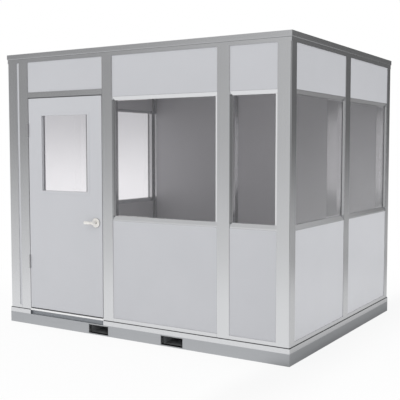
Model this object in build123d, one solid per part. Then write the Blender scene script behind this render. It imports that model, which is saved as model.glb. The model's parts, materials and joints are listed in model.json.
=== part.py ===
from build123d import *
import math
import os

# Overall size of the office
office_width = 3048
office_depth = 2438
office_height = 2624

# Steel base with its fork openings
base_height = 100
base_flange = 50
base_gauge = 6
fork_opening_width = 224
fork_spacing = 811
fork_gauge = 5
joist_flange = 40
joist_gauge = 5
joist_shares = (-0.75, -0.5, 0, 0.5, 0.75)

# Floor
deck_thickness = 44
edging_depth = 24
edging_height = 41
edging_gauge = 3

# Wall frame
wall_inset = 5
wall_thickness = 76
flange_gauge = 4
tip_chamfer = 1.5
post_face = 118
corner_face = 118
corner_side_face = 98
corner_radius = 10
jamb_face = 116
pocket_depth = 25
pocket_play = 2
panel_play = 0.25
bottom_track_height = 35
top_track_height = 33
bay_shares = (0.4, 0.8)

# Wall panels, measured from the tracks
lower_panel_height = 889
upper_panel_height = 361
transom_height = 287

# Windows
bead_width = 32
bead_depth = 14
bead_tip = 2
jamb_bead_width = 12
sill_flat = 12
head_flat = 2
glass_thickness = 6
glass_play = 0.3
glass_slot_depth = 10

# Door and its frame
door_left = 266
door_width = 910
door_gap = 5
strike_gap = 6
door_thickness = 44
door_edge_chamfer = 2
door_head_height = 55
stop_width = 14
stop_gap = 5
head_groove = 25
threshold_rise = 18
threshold_depth = 100
threshold_slope = 12

# Glazed opening in the door
lite_width = 560
lite_height = 712
lite_drop = 166
lite_sleeve = 12
lite_flange = 26
lite_proud = 2
lite_glass_setback = 30

# Hinges
lower_hinge_rise = 452
upper_hinge_drop = 301
hinge_length = 126
hinge_plate_gauge = 2
hinge_plate_depth = 36
knuckle_radius = 6.5
pin_radius = 3
pin_play = 0.05
hinge_proud = 8
knuckle_play = 0.5
knuckle_clearance = 1

# Lever set
lever_rise = 872
lever_backset = 70
rose_radius = 43
rose_depth = 10
rose_edge = 3
hub_play = 0.05
spindle_width = 8
spindle_bore_radius = 9
lever_length = 102
lever_radius = 13
lever_bend = 16
lever_tip_edge = 3
lever_proud = 60

# Roof
cap_height = 50
cap_flange = 60
cap_gauge = 3
cap_chamfer = 8
ceiling_thickness = 12
rib_count = 20
rib_height = 30
rib_gauge = 1.5
rib_crest_share = 0.28
rib_slope_share = 0.14
deck_play = 4

overrun = 10

# Levels and lines that follow from the sizes above
half_width = office_width / 2
half_depth = office_depth / 2
floor_level = base_height + deck_thickness
cap_level = office_height - cap_height
top_track_level = cap_level - top_track_height
bottom_track_top = floor_level + bottom_track_height
lower_panel_top = bottom_track_top + lower_panel_height
upper_panel_bottom = top_track_level - upper_panel_height
door_head_top = top_track_level - transom_height
head_level = door_head_top - door_head_height
door_top = head_level - door_gap
door_bottom = floor_level + threshold_rise + door_gap
pocket_inside = wall_thickness - flange_gauge
panel_thickness = wall_thickness - 2 * (flange_gauge + panel_play)
panel_reach = pocket_depth - pocket_play
fork_opening_height = base_height - 2 * (base_gauge + fork_gauge)
corner_edge = wall_inset + corner_face
corner_side_edge = wall_inset + corner_side_face
door_right = door_left + door_width
jamb_left = door_left - jamb_face
strike_right = door_right + jamb_face
leaf_left = door_left + door_gap
leaf_right = door_right - strike_gap
stop_face = door_thickness + stop_gap
stop_level = head_level - stop_width
lever_station = leaf_right - lever_backset
lever_height = door_bottom + lever_rise
hinge_station = door_left + door_gap / 2
hinge_heights = (door_bottom + lower_hinge_rise, door_top - upper_hinge_drop)


# Each wall is drawn with s along it from its left end, n inward and z up
def four_sides(inset):
    return {
        "front": Pos(-half_width, inset - half_depth, 0),
        "right": Pos(half_width - inset, -half_depth, 0) * Rot(0, 0, 90),
        "back": Pos(half_width, half_depth - inset, 0) * Rot(0, 0, 180),
        "left": Pos(inset - half_width, half_depth, 0) * Rot(0, 0, 270),
    }


rims = four_sides(0)
walls = four_sides(wall_inset)
lengths = {
    "front": office_width,
    "right": office_depth,
    "back": office_width,
    "left": office_depth,
}
groups = {"front": ("front",), "back": ("back",), "side": ("left", "right")}

os.makedirs("parts", exist_ok=True)


def save(node, solids):
    solids = solids if isinstance(solids, list) else [solids]
    pieces = [piece for solid in solids for piece in solid.solids()]
    export_step(Compound(pieces), os.path.join("parts", node + ".step"))


def block(s0, s1, n0, n1, z0, z1):
    return Pos((s0 + s1) / 2, (n0 + n1) / 2, (z0 + z1) / 2) * Box(s1 - s0, n1 - n0, z1 - z0)


def patch(u0, u1, v0, v1):
    return Pos((u0 + u1) / 2, (v0 + v1) / 2) * Rectangle(u1 - u0, v1 - v0)


def outline(points):
    return make_face(Polyline(*points, close=True))


def along(section, s0, s1):
    lengthwise = Plane(origin=(s0, 0, 0), x_dir=(0, 1, 0), z_dir=(1, 0, 0))
    return extrude(lengthwise * section, s1 - s0)


def upright(section, z0, z1):
    return extrude(Pos(0, 0, z0) * section, z1 - z0)


def mitred(section, s0, s1, depth):
    rail = along(section, s0, s1)
    wedge = outline([(s0, 0), (s1, 0), (s1 - depth, depth), (s0 + depth, depth)])
    return rail & upright(wedge, -overrun, office_height + overrun)


# Steel base: mitred channels with the web outside
channel = patch(0, base_flange, 0, base_height) - patch(
    base_gauge, base_flange + overrun, base_gauge, base_height - base_gauge
)
fork_outer_width = fork_opening_width + 2 * fork_gauge
fork_outer_height = fork_opening_height + 2 * fork_gauge
fork_lines = (-fork_spacing / 2, fork_spacing / 2)
fork_slots = [
    Pos(line, 0, base_height / 2) * Box(fork_outer_width, office_depth, fork_outer_height)
    for line in fork_lines
]
rails = {wall: rims[wall] * mitred(channel, 0, lengths[wall], base_flange) for wall in rims}
save("base_front_channel", rails["front"] - fork_slots)
save("base_back_channel", rails["back"] - fork_slots)
save("base_side_channels", [rails["left"], rails["right"]])

fork_bore = Box(fork_opening_width, office_depth + overrun, fork_opening_height)
fork_tubes = [
    slot - Pos(line, 0, base_height / 2) * fork_bore for slot, line in zip(fork_slots, fork_lines)
]
save("fork_pocket_tubes", fork_tubes)

# Joists are coped at both ends to pass between the channel flanges
joist = patch(-joist_flange / 2, joist_flange / 2, 0, base_height) - patch(
    joist_gauge - joist_flange / 2, joist_flange, joist_gauge, base_height - joist_gauge
)
joist_reach = half_depth - base_gauge
cross = Plane(origin=(0, joist_reach, 0), x_dir=(1, 0, 0), z_dir=(0, -1, 0))
joist_bar = extrude(cross * joist, 2 * joist_reach)
for end in (-half_depth, half_depth):
    for level in (base_gauge / 2, base_height - base_gauge / 2):
        joist_bar -= Pos(0, end, level) * Box(2 * joist_flange, 2 * base_flange, base_gauge)
save("floor_joists", [Pos(share * half_width, 0, 0) * joist_bar for share in joist_shares])

# Floor deck and the light edging around it
deck_width = office_width - 2 * edging_depth
deck_depth = office_depth - 2 * edging_depth
deck_middle = base_height + deck_thickness / 2
save("floor_deck", Pos(0, 0, deck_middle) * Box(deck_width, deck_depth, deck_thickness))

edging = patch(0, edging_depth, base_height, base_height + edging_height) - patch(
    edging_gauge,
    edging_depth + overrun,
    base_height + edging_gauge,
    base_height + edging_height - edging_gauge,
)
edgings = {wall: mitred(edging, 0, lengths[wall], edging_depth) for wall in rims}
edgings["front"] -= block(door_left, door_right, -overrun, edging_depth + overrun, 0, floor_level)
for group, members in groups.items():
    save(group + "_floor_edging", [rims[wall] * edgings[wall] for wall in members])

saddle = outline(
    [
        (0, floor_level),
        (threshold_depth, floor_level),
        (threshold_depth - threshold_slope, floor_level + threshold_rise),
        (threshold_slope / 2, floor_level + threshold_rise),
        (0, floor_level + threshold_rise - threshold_slope / 2),
    ]
)
save("door_threshold", walls["front"] * along(saddle, door_left, door_right))

# Corner posts: two arms, each with a pocket for the wall's panels
corner = patch(0, corner_face, 0, wall_thickness) + patch(0, wall_thickness, 0, corner_side_face)
corner = fillet(corner.vertices().sort_by_distance((0, 0, 0))[0], corner_radius)
corner -= patch(corner_face - pocket_depth, corner_face + overrun, flange_gauge, pocket_inside)
corner -= patch(flange_gauge, pocket_inside, corner_side_face - pocket_depth, corner_side_face + overrun)
core_width = corner_face - pocket_depth - 2 * flange_gauge
core_depth = corner_side_face - pocket_depth - 2 * flange_gauge
core = Rectangle(core_width, core_depth, align=(Align.MIN, Align.MIN))
corner -= Pos(flange_gauge, flange_gauge) * core
corner_place = Pos(wall_inset - half_width, wall_inset - half_depth, 0)
corner_post = corner_place * upright(corner, floor_level, top_track_level)
front_corners = [corner_post, mirror(corner_post, Plane.YZ)]
save("front_corner_posts", front_corners)
save("back_corner_posts", [mirror(piece, Plane.XZ) for piece in front_corners])


def post_section(face, pockets):
    section = patch(0, face, 0, wall_thickness)
    section = chamfer(section.vertices(), tip_chamfer)
    hollow_left = flange_gauge
    hollow_right = face - flange_gauge
    if "left" in pockets:
        section -= patch(-overrun, pocket_depth, flange_gauge, pocket_inside)
        hollow_left += pocket_depth
    if "right" in pockets:
        section -= patch(face - pocket_depth, face + overrun, flange_gauge, pocket_inside)
        hollow_right -= pocket_depth
    return section - patch(hollow_left, hollow_right, flange_gauge, pocket_inside)


def post(face, pockets, left):
    return Pos(left, 0, 0) * upright(post_section(face, pockets), floor_level, top_track_level)


# Mullions on the bay lines, and the two door jambs with their stops
near_share, far_share = bay_shares
mullion_lefts = {
    "front": [far_share * office_width - post_face / 2],
    "right": [half_depth - post_face / 2],
    "left": [half_depth - post_face / 2],
    "back": [(1 - share) * office_width - post_face / 2 for share in (far_share, near_share)],
}
for group, members in groups.items():
    stations = [(wall, left) for wall in members for left in mullion_lefts[wall]]
    mullions = [walls[wall] * post(post_face, ("left", "right"), left) for wall, left in stations]
    save(group + "_mullions" if len(mullions) > 1 else group + "_mullion", mullions)

stop_foot = floor_level + threshold_rise
hinge_stop = block(door_left, door_left + stop_width, stop_face, wall_thickness, stop_foot, stop_level)
strike_stop = block(door_right - stop_width, door_right, stop_face, wall_thickness, stop_foot, stop_level)
hinge_jamb = post(jamb_face, ("left",), jamb_left) + hinge_stop
strike_post = post(jamb_face, ("right",), door_right) + strike_stop
save("door_hinge_jamb", walls["front"] * hinge_jamb)
save("door_strike_post", walls["front"] * strike_post)

transom_foot = door_head_top - head_groove
head = patch(0, wall_thickness, head_level, door_head_top)
head -= patch(flange_gauge, pocket_inside, transom_foot, door_head_top + overrun)
head -= patch(flange_gauge, pocket_inside, head_level + flange_gauge, transom_foot - flange_gauge)
head += patch(stop_face, wall_thickness, stop_level, head_level)
save("door_head", walls["front"] * along(head, door_left, door_right))

# Bays between the post faces, left to right on each wall
front_mullion_left = mullion_lefts["front"][0]
side_mullion_left = mullion_lefts["right"][0]
back_mullion_lefts = mullion_lefts["back"]
filler_bay = (corner_edge, jamb_left)
door_bay = (door_left, door_right)
window_bays = {
    "front": [
        (strike_right, front_mullion_left),
        (front_mullion_left + post_face, office_width - corner_edge),
    ],
    "right": [
        (corner_side_edge, side_mullion_left),
        (side_mullion_left + post_face, office_depth - corner_side_edge),
    ],
}
window_bays["left"] = window_bays["right"]
back_bays = [
    (corner_edge, back_mullion_lefts[0]),
    (back_mullion_lefts[0] + post_face, back_mullion_lefts[1]),
    (back_mullion_lefts[1] + post_face, office_width - corner_edge),
]
track_bays = dict(window_bays, front=[filler_bay] + window_bays["front"], back=back_bays)

# Bottom tracks stand between the posts, and a mitred top track runs over them
bottom_track = patch(0, wall_thickness, floor_level, bottom_track_top) - patch(
    flange_gauge, pocket_inside, floor_level + flange_gauge, bottom_track_top + overrun
)
top_track = patch(0, wall_thickness, top_track_level, cap_level) - patch(
    flange_gauge, pocket_inside, top_track_level - overrun, cap_level - flange_gauge
)
for group, members in groups.items():
    runs = [(wall, s0, s1) for wall in members for s0, s1 in track_bays[wall]]
    save(group + "_bottom_tracks", [walls[wall] * along(bottom_track, s0, s1) for wall, s0, s1 in runs])
    tops = []
    for wall in members:
        far_end = lengths[wall] - wall_inset
        tops.append(walls[wall] * mitred(top_track, wall_inset, far_end, wall_thickness))
    save(group + "_top_tracks" if len(tops) > 1 else group + "_top_track", tops)

# Wall panels reach into the post pockets and the tracks
panel_foot = floor_level + flange_gauge
panel_crown = cap_level - flange_gauge - pocket_play
panel_front = flange_gauge + panel_play
panel_back = panel_front + panel_thickness


def panel(bay, z0, z1, reach):
    return block(bay[0] - reach, bay[1] + reach, panel_front, panel_back, z0, z1)


for wall, bays in window_bays.items():
    uppers = [panel(bay, upper_panel_bottom, panel_crown, panel_reach) for bay in bays]
    lowers = [panel(bay, panel_foot, lower_panel_top, panel_reach) for bay in bays]
    if wall == "front":
        uppers.append(panel(door_bay, transom_foot, panel_crown, -panel_play))
    save(wall + "_upper_panels", [walls[wall] * piece for piece in uppers])
    save(wall + "_lower_panels", [walls[wall] * piece for piece in lowers])
save("front_filler_panel", walls["front"] * panel(filler_bay, panel_foot, panel_crown, panel_reach))
back_panels = [panel(bay, panel_foot, panel_crown, panel_reach) for bay in back_bays]
save("back_panels", [walls["back"] * piece for piece in back_panels])


# Sight opening of a window, inside the beads
def sight_size(bay):
    s0 = bay[0] + jamb_bead_width
    s1 = bay[1] - jamb_bead_width
    z0 = lower_panel_top + sill_flat + bead_width
    z1 = upper_panel_bottom - head_flat - bead_width
    return s0, s1, z0, z1


glass_face = panel_front + bead_depth + bead_tip


def pane(bay, reach, play):
    s0, s1, z0, z1 = sight_size(bay)
    near = glass_face - play
    far = glass_face + glass_thickness + play
    return block(s0 - reach, s1 + reach, near, far, z0 - reach, z1 + reach)


def bevel(edge, width, depth):
    front = panel_front - overrun
    tip = edge + width
    return [(front, edge), (panel_front, edge), (panel_front + depth, tip), (front, tip)]


# Window frames: wide bevelled beads from post to post, narrow ones up the posts, and a slot for the glass
def window_frame(bay):
    s0, s1, z0, z1 = sight_size(bay)
    ring = panel(bay, lower_panel_top, upper_panel_bottom, panel_reach)
    ring -= block(s0, s1, panel_front - overrun, panel_back + overrun, z0, z1)
    for edge, width in ((z0 - bead_width, bead_width), (z1 + bead_width, -bead_width)):
        ring -= along(outline(bevel(edge, width, bead_depth)), *bay)
    jamb_bead_depth = bead_depth * jamb_bead_width / bead_width
    for edge, width in ((bay[0], jamb_bead_width), (bay[1], -jamb_bead_width)):
        corners = [(s, n) for n, s in bevel(edge, width, jamb_bead_depth)]
        ring -= upright(outline(corners), z0, z1)
    return ring - pane(bay, glass_slot_depth, glass_play)


for wall, bays in window_bays.items():
    save(wall + "_window_frames", [walls[wall] * window_frame(bay) for bay in bays])
    panes = [pane(bay, glass_slot_depth - glass_play, 0) for bay in bays]
    save(wall + "_window_glass", [walls[wall] * glass for glass in panes])

# Roof cap: a mitred channel with its lower outer edge turned in
inner_turn = cap_chamfer + cap_gauge * math.tan(math.pi / 8)
cap = outline(
    [
        (cap_flange, cap_level),
        (cap_chamfer, cap_level),
        (0, cap_level + cap_chamfer),
        (0, office_height),
        (cap_flange, office_height),
        (cap_flange, office_height - cap_gauge),
        (cap_gauge, office_height - cap_gauge),
        (cap_gauge, cap_level + inner_turn),
        (inner_turn, cap_level + cap_gauge),
        (cap_flange, cap_level + cap_gauge),
    ]
)
caps = {wall: rims[wall] * mitred(cap, 0, lengths[wall], cap_flange) for wall in rims}
save("front_roof_cap", caps["front"])
save("back_roof_cap", caps["back"])
save("side_roof_caps", [caps["left"], caps["right"]])

# Ceiling board on the cap flange, and the ribbed deck on the board
board_edge = cap_gauge + cap_chamfer
ceiling_level = cap_level + cap_gauge
ceiling_top = ceiling_level + ceiling_thickness
ceiling = Box(office_width - 2 * board_edge, office_depth - 2 * board_edge, ceiling_thickness)
save("ceiling_board", Pos(0, 0, ceiling_level + ceiling_thickness / 2) * ceiling)

rib_span = office_width - 2 * (cap_gauge + deck_play)
rib_pitch = rib_span / rib_count
valley_share = 1 - rib_crest_share - 2 * rib_slope_share
valley_level = ceiling_top + rib_gauge
rib_top = ceiling_top + rib_height
ribs = []
for rib in range(rib_count):
    rise = rib * rib_pitch - rib_span / 2 + valley_share / 2 * rib_pitch
    crest = rise + rib_slope_share * rib_pitch
    fall = crest + rib_crest_share * rib_pitch
    foot = fall + rib_slope_share * rib_pitch
    ribs += [(rise, valley_level), (crest, rib_top), (fall, rib_top), (foot, valley_level)]
upper_line = [(-rib_span / 2, valley_level)] + ribs + [(rib_span / 2, valley_level)]
lower_line = [(x, z - rib_gauge) for x, z in reversed(upper_line)]
rib_reach = half_depth - cap_gauge - deck_play
rib_plane = Plane(origin=(0, rib_reach, 0), x_dir=(1, 0, 0), z_dir=(0, -1, 0))
save("roof_deck", extrude(rib_plane * outline(upper_line + lower_line), 2 * rib_reach))

# Door leaf with its glazed opening and the bore for the lever spindle
lite_left = (leaf_left + leaf_right - lite_width) / 2
lite_right = lite_left + lite_width
lite_top = door_top - lite_drop
lite_bottom = lite_top - lite_height


def lite_block(grow, n0, n1):
    return block(lite_left - grow, lite_right + grow, n0, n1, lite_bottom - grow, lite_top + grow)


def turned(radius, n0, n1):
    facing = Plane(origin=(lever_station, n0, lever_height), x_dir=(1, 0, 0), z_dir=(0, 1, 0))
    return extrude(facing * Circle(radius), n1 - n0)


leaf = block(leaf_left, leaf_right, 0, door_thickness, door_bottom, door_top)
leaf = chamfer(leaf.edges().filter_by(Axis.Z), door_edge_chamfer)
leaf -= lite_block(lite_sleeve, -overrun, door_thickness + overrun)
leaf -= turned(spindle_bore_radius, -overrun, door_thickness + overrun)
save("door_leaf", walls["front"] * leaf)

lite_glass_back = lite_glass_setback + glass_thickness
outside_half = lite_block(lite_flange, -lite_proud, 0) + lite_block(lite_sleeve, 0, lite_glass_setback)
inside_half = lite_block(lite_sleeve, lite_glass_back, door_thickness) + lite_block(
    lite_flange, door_thickness, door_thickness + lite_proud
)
sight = lite_block(0, -2 * overrun, door_thickness + 2 * overrun)
save("door_lite_frame", [walls["front"] * (half - sight) for half in (outside_half, inside_half)])
lite_pane = lite_block(lite_sleeve - glass_play, lite_glass_setback, lite_glass_back)
save("door_glass", walls["front"] * lite_pane)

# Butt hinges: the pin and end knuckles stay on the jamb, the middle knuckle on the door
knuckle_length = hinge_length / 3


def rod(radius, z0, z1):
    return upright(Pos(hinge_station, -hinge_proud) * Circle(radius), z0, z1)


frame_halves = []
door_halves = []
for height in hinge_heights:
    foot = height - hinge_length / 2
    top = height + hinge_length / 2
    low = foot + knuckle_length
    high = top - knuckle_length
    bite = knuckle_radius + knuckle_clearance
    frame_plate = block(door_left, door_left + hinge_plate_gauge, -hinge_proud, hinge_plate_depth, foot, top)
    frame_plate -= rod(bite, low - knuckle_play, high + knuckle_play)
    frame_half = frame_plate + rod(knuckle_radius, foot, low - knuckle_play)
    frame_half += rod(knuckle_radius, high + knuckle_play, top)
    frame_half += rod(pin_radius, foot, top)
    door_plate = block(leaf_left - hinge_plate_gauge, leaf_left, -hinge_proud, hinge_plate_depth, foot, top)
    door_plate -= rod(bite, foot - overrun, low)
    door_plate -= rod(bite, high, top + overrun)
    door_half = door_plate + rod(knuckle_radius, low, high)
    door_half -= rod(pin_radius + pin_play, foot, top)
    frame_halves.append(walls["front"] * frame_half)
    door_halves.append(walls["front"] * door_half)
save("hinge_frame_halves", frame_halves)
save("hinge_door_halves", door_halves)

# Roses on both faces of the leaf, and the levers that turn in them
outside_rose = turned(rose_radius, -rose_depth, 0)
inside_rose = turned(rose_radius, door_thickness, door_thickness + rose_depth)
rose_bore = turned(lever_radius + hub_play, -2 * rose_depth, door_thickness + 2 * rose_depth)
roses = []
for rose, side in ((outside_rose, 0), (inside_rose, -1)):
    rim = rose.edges().sort_by(Axis.Y)[side]
    roses.append(walls["front"] * (chamfer(rim, rose_edge) - rose_bore))
save("door_roses", roses)


# Levers: round bar turned in two mitres from the spindle towards the hinges
def lever(n_foot, n_bar):
    tip_station = lever_station - lever_length
    neck_end = n_bar + math.copysign(lever_bend, n_foot - n_bar)
    path = Polyline(
        (lever_station, n_foot, lever_height),
        (lever_station, neck_end, lever_height),
        (lever_station - lever_bend, n_bar, lever_height),
        (tip_station, n_bar, lever_height),
    )
    foot = Plane(origin=path @ 0, z_dir=path % 0)
    bar = sweep(foot * Circle(lever_radius), path=path, transition=Transition.RIGHT)
    tip = bar.edges().sort_by(Axis.X)[0]
    return chamfer(tip, lever_tip_edge)


bar_line = lever_proud - lever_radius
outside_foot = -rose_depth / 2
inside_foot = door_thickness + rose_depth / 2
spindle_length = inside_foot - outside_foot
spindle = Box(spindle_width, spindle_length, spindle_width)
spindle_middle = Pos(lever_station, door_thickness / 2, lever_height)
outside_lever = lever(outside_foot, -bar_line) + spindle_middle * spindle
save("outside_lever", walls["front"] * outside_lever)
save("inside_lever", walls["front"] * lever(inside_foot, door_thickness + bar_line))
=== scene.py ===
import json
import math

import bmesh
import bpy
from mathutils import Matrix, Vector


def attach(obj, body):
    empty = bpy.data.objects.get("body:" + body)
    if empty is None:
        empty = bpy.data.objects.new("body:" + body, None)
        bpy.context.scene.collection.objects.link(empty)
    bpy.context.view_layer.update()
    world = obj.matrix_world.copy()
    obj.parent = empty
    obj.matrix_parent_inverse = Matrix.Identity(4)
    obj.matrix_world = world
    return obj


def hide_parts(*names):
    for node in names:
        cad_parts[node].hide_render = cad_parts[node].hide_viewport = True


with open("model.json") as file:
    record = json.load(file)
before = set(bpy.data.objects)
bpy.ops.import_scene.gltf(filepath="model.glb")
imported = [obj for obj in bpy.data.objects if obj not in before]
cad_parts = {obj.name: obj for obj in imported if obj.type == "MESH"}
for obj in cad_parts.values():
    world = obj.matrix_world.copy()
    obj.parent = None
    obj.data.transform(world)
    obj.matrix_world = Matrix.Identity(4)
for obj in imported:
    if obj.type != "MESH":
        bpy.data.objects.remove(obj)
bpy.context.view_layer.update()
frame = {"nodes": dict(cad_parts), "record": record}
nodes = frame["nodes"]


# Finishes: a socket with arithmetic, and one way to add any other node
class Wire:
    def __init__(self, tree, socket=None):
        self.tree = tree
        self.socket = socket

    def node(self, kind, settings=(), values=(), out=0):
        made = self.tree.nodes.new(kind)
        for name, value in dict(settings).items():
            if name == "stops":
                stops = made.color_ramp.elements
                while len(stops) < len(value):
                    stops.new(1.0)
                for stop, (place, colour) in zip(stops, value):
                    stop.position = place
                    stop.color = colour
            else:
                setattr(made, name, value)
        for name, value in dict(values).items():
            if isinstance(value, Wire):
                self.tree.links.new(value.socket, made.inputs[name])
            else:
                made.inputs[name].default_value = value
        return Wire(self.tree, made.outputs[out] if made.outputs else None)

    def math(self, operation, first, second):
        return self.node("ShaderNodeMath", {"operation": operation}, {0: first, 1: second})

    def __add__(self, other):
        return self.math("ADD", self, other)

    def __radd__(self, other):
        return self.math("ADD", other, self)

    def __sub__(self, other):
        return self.math("SUBTRACT", self, other)

    def __rsub__(self, other):
        return self.math("SUBTRACT", other, self)

    def __mul__(self, other):
        return self.math("MULTIPLY", self, other)

    def __rmul__(self, other):
        return self.math("MULTIPLY", other, self)


def paint(red, green, blue):
    """A colour as a screen shows it, made linear."""
    def linear(level):
        share = level / 255
        return share / 12.92 if share <= 0.04045 else ((share + 0.055) / 1.055) ** 2.4

    return linear(red), linear(green), linear(blue), 1.0


def new_finish(name):
    material = bpy.data.materials.new(name)
    material.use_nodes = True
    material.node_tree.nodes.clear()
    return material, Wire(material.node_tree)


def mixed(wire, share, first, second):
    return wire.node("ShaderNodeMix", {"data_type": "RGBA"}, {0: share, 6: first, 7: second}, out=2)


def spread(wire, value, low, high, to_low=0.0, to_high=1.0):
    """A value eased from one pair of levels to another."""
    values = {"Value": value, "From Min": low, "From Max": high, "To Min": to_low, "To Max": to_high}
    return wire.node("ShaderNodeMapRange", {"interpolation_type": "SMOOTHSTEP"}, values)


def object_place(wire, axis=None):
    """Object coordinates, or one axis of them."""
    place = wire.node("ShaderNodeTexCoord", out="Object")
    return wire.node("ShaderNodeSeparateXYZ", {}, {"Vector": place}, out=axis) if axis else place


def noise(wire, scale, detail=2.0, stretch=(1, 1, 1)):
    place = wire.node("ShaderNodeMapping", {}, {"Vector": object_place(wire), "Scale": stretch})
    return wire.node("ShaderNodeTexNoise", {}, {"Vector": place, "Scale": scale, "Detail": detail})


noise_range = (0.3, 0.7)
fine_relief = 0.0002


def banded(wire, colour, band):
    """A colour that gives way to another below a height, where a band is given."""
    if not band:
        return colour
    height, lower = band
    blur = 0.0004
    return mixed(wire, spread(wire, object_place(wire, "Z"), height - blur, height), lower, colour)


def surface(wire, colour, roughness, bump, **sockets):
    height, strength, distance = bump
    relief = wire.node("ShaderNodeBump", {}, {"Strength": strength, "Distance": distance, "Height": height})
    values = {"Base Color": colour, "Roughness": roughness, "Normal": relief}
    values.update({name.replace("_", " "): value for name, value in sockets.items()})
    shader = wire.node("ShaderNodeBsdfPrincipled", {}, values)
    wire.node("ShaderNodeOutputMaterial", {}, {"Surface": shader})


def satin_metal(name, light, dark, roughness, grain, metal=1.0, band=None):
    """Anodised or nickelled metal, or metallic paint, with fine lines along its grain."""
    material, wire = new_finish(name)
    lines = noise(wire, 1.0, detail=3.0, stretch=grain)
    cloud = noise(wire, 2.3)
    share = spread(wire, lines * 0.6 + cloud * 0.4, *noise_range)
    rough = roughness - 0.015 + 0.03 * share
    colour = banded(wire, mixed(wire, share, dark, light), band)
    surface(wire, colour, rough, (lines, 0.02, fine_relief), Metallic=metal)
    return material


def painted(name, light, dark, roughness, gloss=0.5):
    """Paint, facing or rubber with a fine peel and faint clouds."""
    material, wire = new_finish(name)
    peel = noise(wire, 420.0)
    cloud = noise(wire, 1.7, detail=3.0)
    share = spread(wire, cloud * 0.75 + peel * 0.25, *noise_range)
    rough = roughness - 0.03 + 0.06 * peel
    colour = mixed(wire, share, dark, light)
    surface(wire, colour, rough, (peel, 0.05, fine_relief), Specular_IOR_Level=gloss)
    return material


def tiled(name, light, dark, joint, size, gap, roughness, band=None):
    """Tiles of slightly different tones, with joints sunk between them."""
    material, wire = new_finish(name)
    layout = {"Vector": object_place(wire), "Scale": 1.0, "Brick Width": size[0], "Row Height": size[1]}
    layout.update({"Mortar Size": gap, "Mortar Smooth": 0.2})
    colours = {"Color1": light, "Color2": dark, "Mortar": joint}
    tile = wire.node("ShaderNodeTexBrick", {"offset": 0.0}, {**layout, **colours}, out="Color")
    sunk = wire.node("ShaderNodeTexBrick", {"offset": 0.0}, layout, out="Fac")
    fleck = noise(wire, 160.0, detail=3.0)
    rough = roughness - 0.04 + 0.08 * fleck
    colour = mixed(wire, spread(wire, fleck, 0.45, 0.75, 0.0, 0.35), tile, joint)
    surface(wire, banded(wire, colour, band), rough, (0.2 * fleck - sunk, 0.2, 0.0008))
    return material


def clear_glass():
    """Panes that mirror more at a slant, where a faint film of dust shows too."""
    head_on, dust = 0.04, 0.2
    material, wire = new_finish("clear_glass")
    smear = spread(wire, noise(wire, 3.0), *noise_range)
    tint = mixed(wire, smear, (0.991, 0.983, 0.989, 1), (0.997, 0.989, 0.995, 1))
    through = wire.node("ShaderNodeBsdfTransparent", {}, {"Color": tint})
    mirror = {"Color": (0.95, 0.96, 0.97, 1), "Roughness": 0.02}
    gloss = wire.node("ShaderNodeBsdfAnisotropic", {}, mirror)
    slope = wire.node("ShaderNodeLayerWeight", {}, {"Blend": 0.5}, out="Facing")
    slant = wire.math("POWER", slope, 3.5)
    film = wire.node("ShaderNodeBsdfDiffuse", {}, {"Color": (0.87, 0.875, 0.885, 1)})
    dusty = wire.node("ShaderNodeMixShader", {}, {0: dust * slant, 1: through, 2: film})
    share = head_on + (1 - head_on) * slant
    pane = wire.node("ShaderNodeMixShader", {}, {0: share, 1: dusty, 2: gloss})
    wire.node("ShaderNodeOutputMaterial", {}, {"Surface": pane})
    return material


upright, level = (260, 260, 1.5), (1.5, 1.5, 260)
bead_grain, nickel_grain, screw_grain = (90, 90, 90), (120, 120, 120), (60, 60, 60)
aluminium = (paint(213, 214, 216), paint(210, 211, 213))
floor_tones = (paint(163, 160, 155), paint(154, 151, 147), paint(124, 122, 119))
ceiling_tones = (paint(217, 214, 208), paint(212, 209, 204), paint(188, 186, 182))
floor_tile, ceiling_board = (0.3048, 0.3048), (1.2192, 0.6096)
# The cap's chamfered foot and the deck's bare edge: the height they reach up to, and their colour; the cap
# foot's darker colour is painted shade under the cap, the deck edge's is its own
cap_foot_painted_shade = (2.582, paint(178, 179, 181))
deck_edge = (0.1436, paint(153, 157, 162))

finishes = {
    "post_aluminium": satin_metal("satin_upright_aluminium", *aluminium, 0.18, upright),
    "track_aluminium": satin_metal("satin_level_aluminium", *aluminium, 0.18, level),
    "window_frame": satin_metal(
        "satin_bead_aluminium", paint(222, 223, 225), paint(220, 221, 223), 0.17, bead_grain
    ),
    # Below its foot height the cap is painted darker: painted shade along the chamfer
    "roof_cap": satin_metal(
        "satin_cap_aluminium", paint(210, 211, 213), paint(206, 207, 209), 0.2, level, band=cap_foot_painted_shade
    ),
    "edging": satin_metal(
        "satin_edging_aluminium", paint(215, 216, 218), paint(212, 213, 215), 0.24, level
    ),
    # Near-white and barely metallic: a painted highlight along the threshold's aluminium nose
    "threshold": satin_metal(
        "threshold_painted_highlight", paint(254, 254, 254), paint(251, 251, 252), 0.26, level, metal=0.08
    ),
    "hinge": satin_metal("brushed_hinge_steel", paint(190, 190, 191), paint(176, 176, 178), 0.33, upright),
    "lever_metal": satin_metal(
        "satin_nickel", paint(253, 251, 247), paint(249, 246, 241), 0.28, nickel_grain, metal=0.5
    ),
    "base_steel": satin_metal("base_silver_paint", paint(182, 184, 187), paint(176, 178, 181), 0.44, level),
    "fork_tubes": painted("fork_tube_paint", paint(162, 164, 166), paint(154, 156, 158), 0.45),
    "floor": tiled("grey_floor_tiles", *floor_tones, floor_tile, 0.0012, 0.45, band=deck_edge),
    "wall_panel": painted("light_grey_facing", paint(206, 207, 211), paint(203, 204, 208), 0.2),
    "door_paint": painted("door_grey_paint", paint(207, 208, 212), paint(205, 206, 210), 0.25),
    "roof_deck": painted("roof_deck_paint", paint(206, 207, 208), paint(196, 197, 198), 0.40),
    "ceiling": tiled("white_ceiling_boards", *ceiling_tones, ceiling_board, 0.0015, 0.7),
    "glass": clear_glass(),
}
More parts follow.
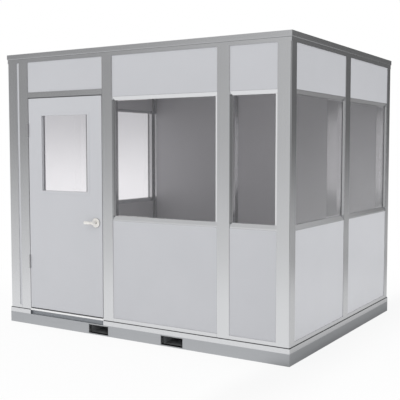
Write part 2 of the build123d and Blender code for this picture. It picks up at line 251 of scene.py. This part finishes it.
seal_rubber = painted("dark_seal_rubber", paint(72, 73, 75), paint(62, 63, 65), 0.55, gloss=0.35)
joint_and_shade_seal = painted("grey_joint_and_shade_seal", paint(128, 129, 131), paint(118, 119, 121), 0.6, gloss=0.3)
light_seal = painted("light_glazing_seal", paint(186, 187, 189), paint(176, 177, 179), 0.6, gloss=0.3)
screw_steel = satin_metal(
    "bright_screw_steel", paint(205, 205, 206), paint(192, 192, 194), 0.28, screw_grain
)

# Nodes whose finish differs from the one their slot has elsewhere
level_nodes = ("door_head", "front_top_track", "back_top_track", "side_top_tracks")
level_nodes += ("front_bottom_tracks", "back_bottom_tracks", "side_bottom_tracks")
painted_nodes = ("fork_pocket_tubes", "floor_joists")
own_finish = {**dict.fromkeys(level_nodes, "track_aluminium"), **dict.fromkeys(painted_nodes, "fork_tubes")}
for row in frame["record"]["subparts"]:
    mesh = nodes[row["node"]].data
    mesh.materials.clear()
    mesh.materials.append(finishes[own_finish.get(row["node"], row["material_slot"])])


# Places on the walls: s along a wall from its left end seen from outside, n inward, z up
half_width, half_depth, wall_inset = 1.524, 1.219, 0.005


def wall_place(x, y, quarters):
    return Matrix.Translation((x, y, 0)) @ Matrix.Rotation(quarters * math.pi / 2, 4, "Z")


walls = {
    "front": wall_place(-half_width, wall_inset - half_depth, 0),
    "right": wall_place(half_width - wall_inset, -half_depth, 1),
    "back": wall_place(half_width, half_depth - wall_inset, 2),
    "left": wall_place(wall_inset - half_width, half_depth, 3),
}
front = walls["front"]
side_bays = ((0.103, 1.160), (1.278, 2.335))
window_bays = {"front": ((1.292, 2.3794), (2.4974, 2.925)), "right": side_bays, "left": side_bays}
back_bays = ((0.123, 0.5506), (0.6686, 1.7698), (1.8878, 2.925))
filler_bay, door_bay = (0.123, 0.150), (0.266, 1.176)
lower_panel, upper_panel, full_panel = (0.179, 1.068), (2.180, 2.541), (0.179, 2.541)
transom = (2.254, 2.541)
sight = (1.112, 2.146)
panel_face = 0.00425
glass_face, glass_back = 0.02025, 0.02625
jamb_bead = 0.012
jamb_cover = {"front": 0.025, "right": 0.025, "left": jamb_bead}
threshold_top = 0.162
leaf_left, leaf_right, leaf_back = 0.271, 1.170, 0.044
lite_s, lite_z = (0.4405, 1.0005), (1.316, 2.028)
lite_face, lite_back = 0.030, 0.036
lever_s, lever_z = 1.100, 1.039
hinge_s, hinge_n = 0.2685, -0.008
hinge_heights = (0.619, 1.893)
hinge_reach = 0.063
fork_line, fork_half, fork_rise = 0.4055, 0.112, (0.011, 0.089)
roof_half, roof_valley = 1.517, 2.5905


# Ways to make the pieces
def new_object(name, mesh, material):
    data = bpy.data.meshes.new(name)
    mesh.to_mesh(data)
    mesh.free()
    data.materials.append(material)
    made = bpy.data.objects.new(name, data)
    bpy.context.scene.collection.objects.link(made)
    return made


def add_piece(name, mesh, material, body, smooth=False):
    bmesh.ops.recalc_face_normals(mesh, faces=mesh.faces)
    for face in mesh.faces:
        face.smooth = smooth
    piece = new_object(name, mesh, material)
    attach(piece, body)
    return piece


def ease_edges(mesh, edges, width, segments=2):
    bmesh.ops.bevel(
        mesh, geom=edges, offset=width, offset_type="OFFSET", affect="EDGES", segments=segments,
        profile=0.5, material=-1,
    )


def face_in(geom):
    return next(item for item in geom if isinstance(item, bmesh.types.BMFace))


def pushed(mesh, faces, move):
    """Faces extruded by a move, as the list of what is new at the far end."""
    grown = bmesh.ops.extrude_face_region(mesh, geom=faces)["geom"]
    far_end = [item for item in grown if isinstance(item, bmesh.types.BMVert)]
    bmesh.ops.translate(mesh, vec=move, verts=far_end)
    return grown


def strip(mesh, place, s, n, z, ease=0.0):
    """A straight strip between two values of s, n and z, with eased edges."""
    low, high = Vector((s[0], n[0], z[0])), Vector((s[1], n[1], z[1]))
    verts = bmesh.ops.create_cube(mesh, size=1.0)["verts"]
    bmesh.ops.scale(mesh, vec=high - low, verts=verts)
    bmesh.ops.translate(mesh, vec=(low + high) / 2, verts=verts)
    bmesh.ops.transform(mesh, matrix=place, verts=verts)
    if ease:
        ease_edges(mesh, list({edge for vert in verts for edge in vert.link_edges}), ease)


def ring(mesh, place, s, z, width, n, ease=0.0):
    """A mitred frame just inside an opening, from depth n[0] in front to n[1] behind."""
    corners = ((s[0], n[1], z[0]), (s[1], n[1], z[0]), (s[1], n[1], z[1]), (s[0], n[1], z[1]))
    face = mesh.faces.new([mesh.verts.new(place @ Vector(corner)) for corner in corners])
    rim = bmesh.ops.inset_individual(mesh, faces=[face], thickness=width, use_even_offset=True)["faces"]
    bmesh.ops.delete(mesh, geom=[face], context="FACES_ONLY")
    grown = pushed(mesh, rim, place.to_3x3() @ Vector((0, n[0] - n[1], 0)))
    if ease:
        fronts = [item for item in grown if isinstance(item, bmesh.types.BMEdge)]
        sharp = 0.5
        ease_edges(mesh, [edge for edge in fronts if edge.calc_face_angle(0) > sharp], ease)


def facing(place, s, n, z, way):
    """A place on a wall whose own z points along way."""
    turn = Vector(way).to_track_quat("Z", "Y").to_matrix().to_4x4()
    return place @ Matrix.Translation((s, n, z)) @ turn


def screw(mesh, place, radius, proud, sides=12, dish=0.5):
    """A screw head with a dished drive, rising along z from its place."""
    rim_share = 0.45
    verts = bmesh.ops.create_circle(mesh, cap_ends=True, radius=radius, segments=sides)["verts"]
    crown = face_in(pushed(mesh, [verts[0].link_faces[0]], (0, 0, proud)))
    rim = bmesh.ops.inset_individual(mesh, faces=[crown], thickness=radius * rim_share)["faces"]
    bmesh.ops.translate(mesh, vec=(0, 0, -proud * dish), verts=list(crown.verts))
    whole = set(verts) | set(crown.verts) | {vert for face in rim for vert in face.verts}
    bmesh.ops.transform(mesh, matrix=place, verts=list(whole))


def spun(mesh, place, outline, sides=40):
    """A closed outline of (radius, height) turned about the z of its place."""
    others = set(mesh.verts)
    verts = [mesh.verts.new((radius, 0, height)) for radius, height in outline]
    edges = [mesh.edges.new(pair) for pair in zip(verts, verts[1:] + verts[:1])]
    bmesh.ops.spin(
        mesh, geom=verts + edges, axis=(0, 0, 1), cent=(0, 0, 0), angle=2 * math.pi, steps=sides,
        use_merge=True,
    )
    made = [vert for vert in mesh.verts if vert not in others]
    bmesh.ops.transform(mesh, matrix=place, verts=made)
    bmesh.ops.remove_doubles(mesh, verts=made, dist=0.00001)


# Sloped covers on the jambs of every window, between the sill bead and the head bead
def jamb_covers():
    turn, turn_n = 0.003, 0.0159
    mesh = bmesh.new()
    for wall, bays in window_bays.items():
        reach = jamb_cover[wall]
        section = ((0, panel_face), (reach - turn, turn_n), (reach, glass_face), (0, glass_face))
        for left, right in bays:
            for edge, way in ((left, 1), (right, -1)):
                corners = [walls[wall] @ Vector((edge + way * s, n, sight[0])) for s, n in section]
                foot = mesh.faces.new([mesh.verts.new(corner) for corner in corners])
                pushed(mesh, [foot], (0, 0, sight[1] - sight[0]))
    add_piece("window_jamb_covers", mesh, finishes["window_frame"], "office")


# Seals round every pane, outside and inside
def window_seals():
    width, proud, back_proud, ease = 0.004, 0.0018, 0.005, 0.0007
    mesh = bmesh.new()
    for wall, bays in window_bays.items():
        outside = (jamb_cover[wall], (glass_face - proud, glass_face))
        inside = (jamb_bead, (glass_back, glass_back + back_proud))
        for left, right in bays:
            for margin, n in (outside, inside):
                ring(mesh, walls[wall], (left + margin, right - margin), sight, width, n, ease)
    add_piece("window_seals", mesh, seal_rubber, "office")


def door_lite_seals():
    width, proud, ease = 0.003, 0.0018, 0.0006
    mesh = bmesh.new()
    for n in ((lite_face - proud, lite_face), (lite_back, lite_back + proud)):
        ring(mesh, front, lite_s, lite_z, width, n, ease)
    add_piece("door_lite_seals", mesh, light_seal, "door")


# Thin grey seals where the panels meet the posts and tracks, partly real joints and partly painted shade at
# the panel edges
def panel_joint_and_shade_seals():
    width, proud = 0.0022, 0.001
    openings = [("front", filler_bay, full_panel), ("front", door_bay, transom)]
    for wall, bays in window_bays.items():
        openings += [(wall, bay, z) for bay in bays for z in (lower_panel, upper_panel)]
    openings += [("back", bay, full_panel) for bay in back_bays]
    mesh = bmesh.new()
    for wall, s, z in openings:
        ring(mesh, walls[wall], s, z, width, (panel_face - proud, panel_face))
    add_piece("panel_joint_and_shade_seals", mesh, joint_and_shade_seal, "office")


# A dark seal along the foot of the walls, on the edging, partly a seal and partly painted shade standing in
# for the shadow in the gap there
def foot_and_shadow_seals():
    margin, depth, rise, ease = 0.003, (-0.002, 0.004), (0.141, 0.1475), 0.0006
    width_end, depth_end = 2 * half_width - margin, 2 * half_depth - margin
    runs = {
        "front": ((margin, door_bay[0]), (door_bay[1], width_end)),
        "back": ((margin, width_end),),
        "right": ((margin, depth_end),),
        "left": ((margin, depth_end),),
    }
    mesh = bmesh.new()
    for wall, stretches in runs.items():
        for s in stretches:
            strip(mesh, walls[wall], s, depth, rise, ease)
    add_piece("wall_foot_and_shadow_seals", mesh, seal_rubber, "office")


# Door trim: weatherstrip on the stops, a dark strip over the leaf as painted shade, sweeps under the leaf,
# latch and strike, hinge and lite screws
def weatherstrip_and_head_shade():
    stop_depth, stop_rise, stop_ease = (leaf_back + 0.0005, 0.049), (threshold_top, 2.185), 0.0018
    hinge_side = (leaf_left + 0.0005, leaf_left + 0.0085)
    strike_side = (leaf_right - 0.008, leaf_right - 0.0002)
    head_run, head_rise = (0.280, 1.162), (2.1852, 2.1935)
    head_shade_depth, head_shade_rise, head_shade_ease = (-0.0012, 0.004), (2.1946, 2.2028), 0.0006
    mesh = bmesh.new()
    for s, z in ((hinge_side, stop_rise), (strike_side, stop_rise), (head_run, head_rise)):
        strip(mesh, front, s, stop_depth, z, stop_ease)
    # A dark strip in the gap above the leaf stands in for the shadow there: painted shade
    strip(mesh, front, (leaf_left, leaf_right), head_shade_depth, head_shade_rise, head_shade_ease)
    add_piece("door_weatherstrip_and_head_shade", mesh, seal_rubber, "office")


def door_sweep():
    middle = {"margin": 0.004, "depth": (0.016, 0.028), "rise": (0.1636, 0.167), "ease": 0.001}
    outer = {"margin": 0.002, "depth": (-0.0015, 0.0015), "rise": (0.1594, 0.1694), "ease": 0.0005}
    mesh = bmesh.new()
    for sweep in (middle, outer):
        s = (leaf_left + sweep["margin"], leaf_right - sweep["margin"])
        strip(mesh, front, s, sweep["depth"], sweep["rise"], sweep["ease"])
    add_piece("door_sweep", mesh, seal_rubber, "door")


def latch():
    plate = {"proud": 0.001, "depth": (0.0095, 0.0345), "half": 0.029, "ease": 0.0004}
    bolt = {"proud": 0.0036, "depth": (0.015, 0.029), "half": 0.011, "ease": 0.0016}
    screw_n, screw_rise, screw_radius, screw_proud = 0.022, 0.021, 0.0035, 0.0003
    mesh = bmesh.new()
    for part in (plate, bolt):
        s, z = (leaf_right, leaf_right + part["proud"]), (lever_z - part["half"], lever_z + part["half"])
        strip(mesh, front, s, part["depth"], z, part["ease"])
    for rise in (-screw_rise, screw_rise):
        spot = facing(front, leaf_right + plate["proud"], screw_n, lever_z + rise, (1, 0, 0))
        screw(mesh, spot, screw_radius, screw_proud)
    add_piece("latch_plate_and_bolt", mesh, screw_steel, "door")

    strike_depth, strike_half, strike_width = (0.006, 0.038), 0.036, 0.008
    strike_thick, strike_ease = 0.0008, 0.0003
    mesh = bmesh.new()
    post_face = front @ Matrix.Translation((door_bay[1], 0, 0)) @ Matrix.Rotation(math.pi / 2, 4, "Z")
    z = (lever_z - strike_half, lever_z + strike_half)
    ring(mesh, post_face, strike_depth, z, strike_width, (0, strike_thick), strike_ease)
    add_piece("strike_plate", mesh, screw_steel, "office")


def hinge_trim():
    screw_spots = ((-0.045, 0.012), (-0.020, 0.026), (0.020, 0.012), (0.045, 0.026))
    screw_radius, screw_proud, half_gap = 0.0045, 0.0004, 0.0005
    cap = ((0, 0), (0.0052, 0), (0.0052, 0.0012), (0.0042, 0.0026), (0.002, 0.0033), (0, 0.0034))
    jamb_screws, door_screws, caps = bmesh.new(), bmesh.new(), bmesh.new()
    for height in hinge_heights:
        for rise, n in screw_spots:
            for mesh, way in ((jamb_screws, 1), (door_screws, -1)):
                spot = facing(front, hinge_s - way * half_gap, n, height + rise, (way, 0, 0))
                screw(mesh, spot, screw_radius, screw_proud)
        for way in (-1, 1):
            spot = facing(front, hinge_s, hinge_n, height + way * hinge_reach, (0, 0, way))
            spun(caps, spot, cap, sides=24)
    add_piece("hinge_screws_on_jamb", jamb_screws, screw_steel, "office")
    add_piece("hinge_screws_on_door", door_screws, screw_steel, "door")
    add_piece("hinge_pin_caps", caps, finishes["hinge"], "office", smooth=True)


def lite_screws():
    margin, frame_proud, radius, proud = 0.013, 0.002, 0.004, 0.0008
    middle = (sum(lite_s) / 2, sum(lite_z) / 2)
    mesh = bmesh.new()
    for s in (lite_s[0] - margin, middle[0], lite_s[1] + margin):
        for z in (lite_z[0] - margin, middle[1], lite_z[1] + margin):
            if (s, z) != middle:
                screw(mesh, facing(front, s, leaf_back + frame_proud, z, (0, 1, 0)), radius, proud)
    add_piece("lite_frame_screws", mesh, screw_steel, "door")


# Collars where the levers leave the roses, and dark gaskets where the roses meet the leaf, partly gaskets
# and partly painted shade outlining the roses
def rose_collars():
    rose_thick = 0.010
    collar = ((0.0136, 0), (0.0185, 0), (0.0185, 0.0014))
    collar += ((0.0172, 0.0026), (0.0148, 0.0026), (0.0136, 0.0014))
    rim_shade_outline = ((0.0432, 0.0002), (0.0442, 0.0002), (0.0442, 0.0032), (0.0432, 0.0038))
    collars, rim_shade_mesh = bmesh.new(), bmesh.new()
    for leaf_side, way in ((0, -1), (leaf_back, 1)):
        spun(collars, facing(front, lever_s, leaf_side + way * rose_thick, lever_z, (0, way, 0)), collar)
        spun(rim_shade_mesh, facing(front, lever_s, leaf_side, lever_z, (0, way, 0)), rim_shade_outline, sides=48)
    add_piece("rose_collars", collars, finishes["lever_metal"], "door")
    add_piece("rose_gaskets_and_rim_shade", rim_shade_mesh, seal_rubber, "door", smooth=True)


# Levers with a round bend and an oval grip, in place of the mitred bars
def lever_bar(name, node, leaf_side, way):
    radius, bend, foot, neck, length = 0.013, 0.016, 0.005, 0.031, 0.102
    tip_ease, grip, grip_start = 0.0042, 1.2, 0.006
    spindle_half, spindle_end = 0.004, -0.049
    mesh = bmesh.new()
    start = Matrix.Translation((0, 0, foot))
    verts = bmesh.ops.create_circle(mesh, cap_ends=True, radius=radius, segments=40, matrix=start)["verts"]
    crown = face_in(pushed(mesh, [verts[0].link_faces[0]], (0, 0, neck - foot)))
    turned = bmesh.ops.spin(
        mesh, geom=[crown] + list(crown.edges) + list(crown.verts), cent=(bend, 0, neck), axis=(0, 1, 0),
        angle=math.pi / 2, steps=10,
    )["geom_last"]
    tip = face_in(pushed(mesh, [face_in(turned)], (length - bend, 0, 0)))
    ease_edges(mesh, list(tip.edges), tip_ease, segments=5)
    if way < 0:
        square = (-spindle_half, spindle_half)
        strip(mesh, Matrix.Identity(4), square, square, (spindle_end, foot))
    bar = [vert for vert in mesh.verts if vert.co.z > grip_start]
    bmesh.ops.scale(mesh, vec=(1, grip, 1), verts=bar)
    axes = Matrix(((-1, 0, 0), (0, 0, way), (0, way, 0))).to_4x4()
    place = front @ Matrix.Translation((lever_s, leaf_side, lever_z)) @ axes
    bmesh.ops.transform(mesh, matrix=place, verts=mesh.verts)
    piece = add_piece(name, mesh, finishes["lever_metal"], "lever", smooth=True)
    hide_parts(node)


def levers():
    lever_bar("outside_lever_bar", "outside_lever", 0, -1)
    lever_bar("inside_lever_bar", "inside_lever", leaf_back, 1)


# Ribs, nosing and screws on the threshold
def threshold_trim():
    ribs, first_rib, pitch, rib_width, rib_height, rib_ease = 7, 0.012, 0.0115, 0.004, 0.0012, 0.0008
    mesh = bmesh.new()
    for rib in range(ribs):
        n = first_rib + rib * pitch
        z = (threshold_top, threshold_top + rib_height)
        strip(mesh, front, door_bay, (n, n + rib_width), z, rib_ease)
    add_piece("threshold_ribs", mesh, finishes["threshold"], "office")

    # The nosing wears the same near-white finish, so it carries the painted highlight too
    nosing_proud, nosing_rise, nosing_ease = 0.0018, (0.1405, 0.1572), 0.0006
    mesh = bmesh.new()
    strip(mesh, front, door_bay, (-nosing_proud, 0), nosing_rise, nosing_ease)
    add_piece("threshold_nosing", mesh, finishes["threshold"], "office")

    screw_n, screw_radius, screw_proud = 0.0485, 0.0042, 0.0008
    mesh = bmesh.new()
    for share in (0.04, 0.35, 0.65, 0.96):
        s = door_bay[0] + share * (door_bay[1] - door_bay[0])
        screw(mesh, facing(front, s, screw_n, threshold_top, (0, 0, 1)), screw_radius, screw_proud)
    add_piece("threshold_screws", mesh, screw_steel, "office")


# Dark rubber guards round the mouths of the fork pockets, partly guards and partly painted shade standing
# in for the shade at the mouths
def fork_guards_and_shade():
    width, depth, ease = 0.004, (-0.0045, 0.036), 0.001
    mesh = bmesh.new()
    for wall in ("front", "back"):
        for middle in (half_width - fork_line, half_width + fork_line):
            ring(mesh, walls[wall], (middle - fork_half, middle + fork_half), fork_rise, width, depth, ease)
    add_piece("fork_pocket_guards_and_shade", mesh, seal_rubber, "office")


# Screws with washers in the valleys of the roof deck
def roof_screws():
    steps, rows = 20, (-1.08, -0.54, 0, 0.54, 1.08)
    washer = {"radius": 0.009, "proud": 0.0015, "sides": 10, "dish": 0.2}
    head = {"radius": 0.005, "proud": 0.005, "sides": 6, "dish": 0.1}
    seat = Matrix.Translation((0, 0, 0.0012))
    mesh = bmesh.new()
    for valley in range(1, steps, 2):
        for y in rows:
            spot = Matrix.Translation((valley * 2 * roof_half / steps - roof_half, y, roof_valley))
            screw(mesh, spot, **washer)
            screw(mesh, spot @ seat, **head)
    add_piece("roof_screws", mesh, screw_steel, "office")


for make in (
    jamb_covers, window_seals, door_lite_seals, panel_joint_and_shade_seals, foot_and_shadow_seals, weatherstrip_and_head_shade, door_sweep, latch,
    hinge_trim, lite_screws, rose_collars, levers, threshold_trim, fork_guards_and_shade, roof_screws,
):
    make()


# Floor, light, background and camera
def ray(wire, kind):
    return wire.node("ShaderNodeLightPath", out=kind)


def studio_floor():
    """White to the camera; mirrors see a painted pool of light on it, greyer to the right, to the back and
    far off, and a painted shadow beside the right wall, where its matt colour is painted darker too.
    """
    radius, drop = 7.0, 0.001
    material, wire = new_finish("pale_floor")
    camera, glossy = ray(wire, "Is Camera Ray"), ray(wire, "Is Glossy Ray")
    across, along = object_place(wire, "X"), object_place(wire, "Y")
    far = wire.node("ShaderNodeVectorMath", {"operation": "LENGTH"}, {0: object_place(wire)}, out="Value")
    off_wall = spread(wire, across, 1.2, 1.5)
    # Painted shadow beside the right wall, and a painted pool of light for mirrors that darkens to the
    # right, to the back and far off
    painted_wall_shadow = off_wall * spread(wire, across, 1.5, 1.85, 0.38, 0.0)
    painted_light_pool = 1.0 - spread(wire, across + along, -0.4, 1.0, 0.0, 0.27)
    painted_light_pool = painted_light_pool - spread(wire, along, 1.0, 4.0, 0.0, 0.14)
    painted_light_pool = painted_light_pool - painted_wall_shadow * spread(wire, along, -1.5, -1.2)
    painted_light_pool = painted_light_pool - spread(wire, far, 3.0, 6.0, 0.0, 0.12)
    colour = mixed(wire, 1.0 - glossy + glossy * painted_light_pool, (0, 0, 0, 1), (1, 1, 1, 1))
    white = wire.node("ShaderNodeEmission", {}, {"Color": colour, "Strength": 1.0})
    # Matt colour painted darker beside the right wall: painted shade that weakens the floor's bounce there
    shade = off_wall * spread(wire, across, 1.5, 2.1, 1.0, 0.0)
    bounce = mixed(wire, shade, (0.97, 0.97, 0.97, 1), (0.5, 0.5, 0.51, 1))
    matt = wire.node("ShaderNodeBsdfDiffuse", {}, {"Color": bounce})
    share = camera * spread(wire, far, 2.2, 4.2, 0.9, 1.0) + glossy
    whole = wire.node("ShaderNodeMixShader", {}, {0: share, 1: matt, 2: white})
    wire.node("ShaderNodeOutputMaterial", {}, {"Surface": whole})
    mesh = bmesh.new()
    bmesh.ops.create_circle(mesh, cap_ends=True, radius=radius, segments=96)
    bmesh.ops.translate(mesh, verts=mesh.verts, vec=(0, 0, -drop))
    new_object("studio_floor", mesh, material)


def grey_ring(wire, turn, levels):
    """Greys around the horizon, from the left by the front, the right and the back."""
    stops = [(place, (grey, grey, grey, 1)) for place, grey in levels]
    return wire.node("ShaderNodeValToRGB", {"stops": stops}, {"Fac": turn}, out="Color")


def studio_world():
    """White to the camera, a grey room to mirrors, and an even light to everything else."""
    world = bpy.data.worlds.new("studio")
    bpy.context.scene.world = world
    world.use_nodes = True
    world.node_tree.nodes.clear()
    wire = Wire(world.node_tree)
    way = wire.node("ShaderNodeTexCoord", out="Generated")
    height = wire.node("ShaderNodeSeparateXYZ", {}, {"Vector": way}, out="Z")
    turn = wire.node("ShaderNodeTexGradient", {"gradient_type": "RADIAL"}, {"Vector": way}, out="Fac")
    horizon = grey_ring(wire, turn, (
        (0.0, 1.0), (0.06, 0.95), (0.095, 0.5), (0.12, 0.335), (0.142, 0.41), (0.167, 0.55), (0.18, 0.64),
        (0.205, 0.85), (0.235, 0.6), (0.275, 0.15), (0.36, 0.15), (0.42, 0.4), (0.50, 0.48), (0.55, 0.44),
        (0.62, 0.25), (0.67, 0.15), (0.71, 0.15), (0.76, 0.25), (0.82, 0.5), (0.90, 0.9), (1.0, 1.0),
    ))
    ground = grey_ring(wire, turn, (
        (0.0, 0.92), (0.20, 0.84), (0.25, 0.76), (0.30, 0.25), (0.36, 0.22), (0.42, 0.5), (0.52, 0.6),
        (0.63, 0.58), (0.77, 0.58), (0.84, 1.0), (1.0, 1.0),
    ))
    sky = grey_ring(wire, turn, (
        (0.0, 0.64), (0.30, 0.64), (0.45, 0.6), (0.60, 0.52), (0.78, 0.52), (0.90, 0.6), (1.0, 0.64),
    ))
    deep = grey_ring(wire, turn, (
        (0.0, 1.0), (0.20, 0.9), (0.25, 0.8), (0.30, 0.25), (0.36, 0.22), (0.42, 0.5), (0.52, 0.5),
        (0.62, 0.31), (0.78, 0.29), (0.88, 1.0), (1.0, 1.0),
    ))
    below = mixed(wire, spread(wire, height, -0.20, -0.11), deep, ground)
    above = mixed(wire, spread(wire, height, 0.16, 0.22), horizon, sky)
    room = mixed(wire, spread(wire, height, -0.16, 0.05), below, above)

    # Behind the panes the camera sees a pale floor and a grey distance instead of white
    near_floor, distance = (0.98, 0.995, 1.0, 1), (0.6, 0.612, 0.625, 1)
    beyond = mixed(wire, spread(wire, height, -0.06, 0.06), near_floor, distance)
    through_pane = wire.math("GREATER_THAN", ray(wire, "Transparent Depth"), 0.5)
    plain = mixed(wire, through_pane, (1, 1, 1, 1), beyond)
    camera, glossy = ray(wire, "Is Camera Ray"), ray(wire, "Is Glossy Ray")
    shown = wire.math("MINIMUM", camera + glossy + ray(wire, "Is Transmission Ray"), 1.0)
    even_light = (0.905, 0.907, 0.912, 1)
    colour = mixed(wire, shown, even_light, mixed(wire, camera, room, plain))
    light = wire.node("ShaderNodeBackground", {}, {"Color": colour, "Strength": 1.0})
    wire.node("ShaderNodeOutputWorld", {}, {"Surface": light})


def soft_lamp(name, place, aim, size, power):
    lamp = bpy.data.lights.new(name, "AREA")
    lamp.shape = "DISK"
    lamp.size = size
    lamp.energy = power
    holder = bpy.data.objects.new(name, lamp)
    holder.location = place
    holder.rotation_euler = (Vector(aim) - Vector(place)).to_track_quat("-Z", "Y").to_euler()
    holder.visible_glossy = False
    bpy.context.scene.collection.objects.link(holder)


def photo_camera():
    lens, sensor = 67.569, 36.0
    place, tilt_down, turn = (3.985, -6.525, 1.7167), 0.06837, 0.55495
    camera = bpy.data.cameras.new("photo_camera")
    camera.lens = lens
    camera.sensor_width = sensor
    holder = bpy.data.objects.new("photo_camera", camera)
    holder.location = place
    holder.rotation_euler = (math.pi / 2 - tilt_down, 0.0, turn)
    bpy.context.scene.collection.objects.link(holder)
    bpy.context.scene.camera = holder


studio_floor()
studio_world()
soft_lamp("front_lamp", (-2.5, -6.0, 6.0), (0, 0, 1.2), size=4.0, power=30)
soft_lamp("right_lamp", (4.6, 1.0, 0.85), (1.5, 0.8, 0.85), size=1.6, power=13)
photo_camera()
bpy.context.scene.view_settings.view_transform = "Standard"
